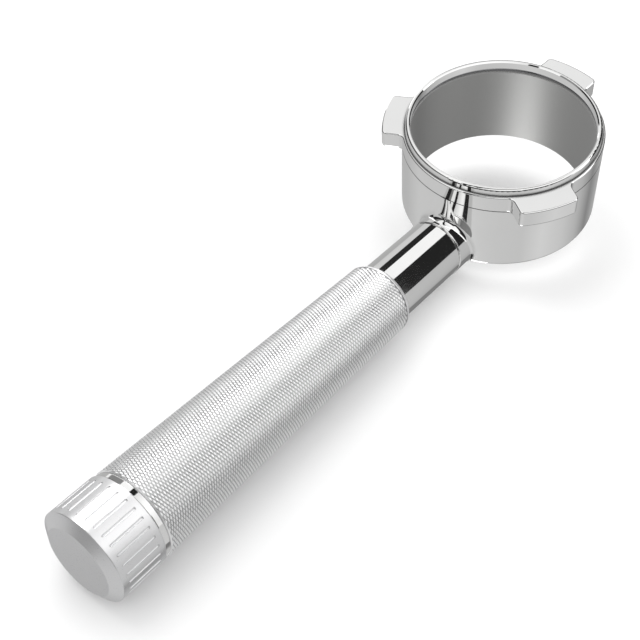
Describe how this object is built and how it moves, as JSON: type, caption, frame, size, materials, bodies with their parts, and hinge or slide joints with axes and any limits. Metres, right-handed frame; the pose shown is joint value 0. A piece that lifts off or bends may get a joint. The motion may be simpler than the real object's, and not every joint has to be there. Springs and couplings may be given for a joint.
{
  "type": "bottomless portafilter",
  "caption": "Bottomless portafilter: polished ring with three bayonet lugs and a straight metal handle with a knurled grip, accent ring and slotted screw cap.",
  "frame": {"origin": "on the axis of the basket bore, in the plane of the ring's bottom face", "axes": "+Z along the bore, up out of the machine side of the ring; -Y towards the handle; +X to the right seen from the handle's end"},
  "size_m": [0.0711, 0.222, 0.0459],
  "materials": {
    "polished_steel": "mirror polished stainless steel",
    "satin_aluminium": "satin anodised silver, finely knurled on the grip",
    "plain_steel": "turned stainless steel",
    "spring_steel": "drawn stainless spring wire",
    "black_rubber": "matt black rubber"
  },
  "bodies": {
    "ring_and_handle": {"head_ring": "polished_steel", "basket_spring": "spring_steel", "neck_joint_ring": "polished_steel", "neck": "polished_steel", "grip_washer": "black_rubber", "rod_locknut": "plain_steel", "tie_rod": "plain_steel", "grip": "satin_aluminium", "cap_socket": "plain_steel", "flat_washer": "plain_steel", "spring_washer": "spring_steel", "tie_nut": "plain_steel"},
    "cap_carrier": {"accent_ring": "polished_steel"},
    "cap": {"end_cap": "satin_aluminium", "cap_spigot": "plain_steel", "cap_o_ring": "black_rubber"}
  },
  "joints": [
    {"name": "cap_travel", "type": "slide", "parent": "ring_and_handle", "child": "cap_carrier", "axis": [0, -0.9877, 0.1564], "range_m": [0, 0.00501]},
    {"name": "cap_turn", "type": "hinge", "parent": "cap_carrier", "child": "cap", "pos_m": [0, -0.16735, 0.02626], "axis": [0, -0.9877, 0.1564], "range_deg": [0, 1800]}
  ],
  "couplings": [
    {"joint": "cap_travel", "follows": "cap_turn", "m_per_rad": 0.00015915}
  ]
}
